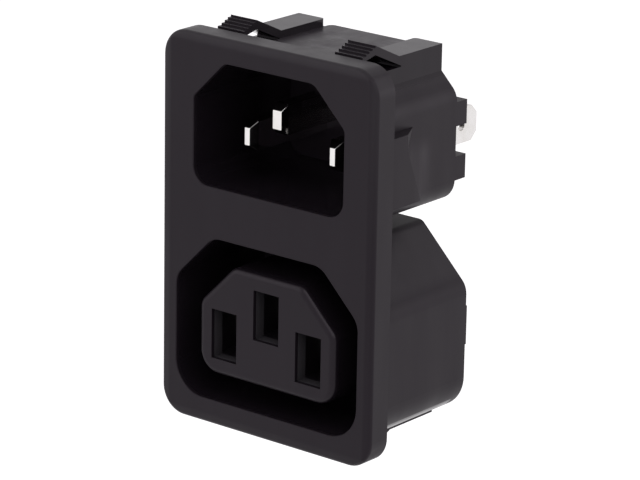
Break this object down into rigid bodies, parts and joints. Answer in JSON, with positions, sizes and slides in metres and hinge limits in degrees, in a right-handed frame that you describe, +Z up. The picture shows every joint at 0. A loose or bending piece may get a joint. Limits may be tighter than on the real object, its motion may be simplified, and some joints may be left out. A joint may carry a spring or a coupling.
{
  "type": "mains inlet and outlet socket",
  "caption": "Snap-in panel module with a recessed mains inlet above a shrouded mains outlet in one moulded housing, with toothed snap arms and rear push-on tabs.",
  "frame": {"origin": "centre of the panel seat, on the back face of the flange", "axes": "+X to the right seen from the front, +Y back through the panel, +Z up from the outlet to the inlet"},
  "size_m": [0.0348, 0.0332, 0.0542],
  "materials": {
    "housing_plastic": "black moulded thermoplastic with a fine matte texture",
    "carrier_plastic": "black moulded thermoplastic, matte",
    "pin_plating": "bright nickel plating on brass",
    "contact_plating": "dull nickel plating on sheet brass"
  },
  "bodies": {
    "root": {"housing": "housing_plastic", "outlet_contact_carrier": "carrier_plastic", "inlet_line_pin": "pin_plating", "inlet_neutral_pin": "pin_plating", "inlet_earth_pin": "pin_plating", "outlet_line_contact": "contact_plating", "outlet_neutral_contact": "contact_plating", "outlet_earth_contact": "contact_plating"}
  },
  "joints": []
}
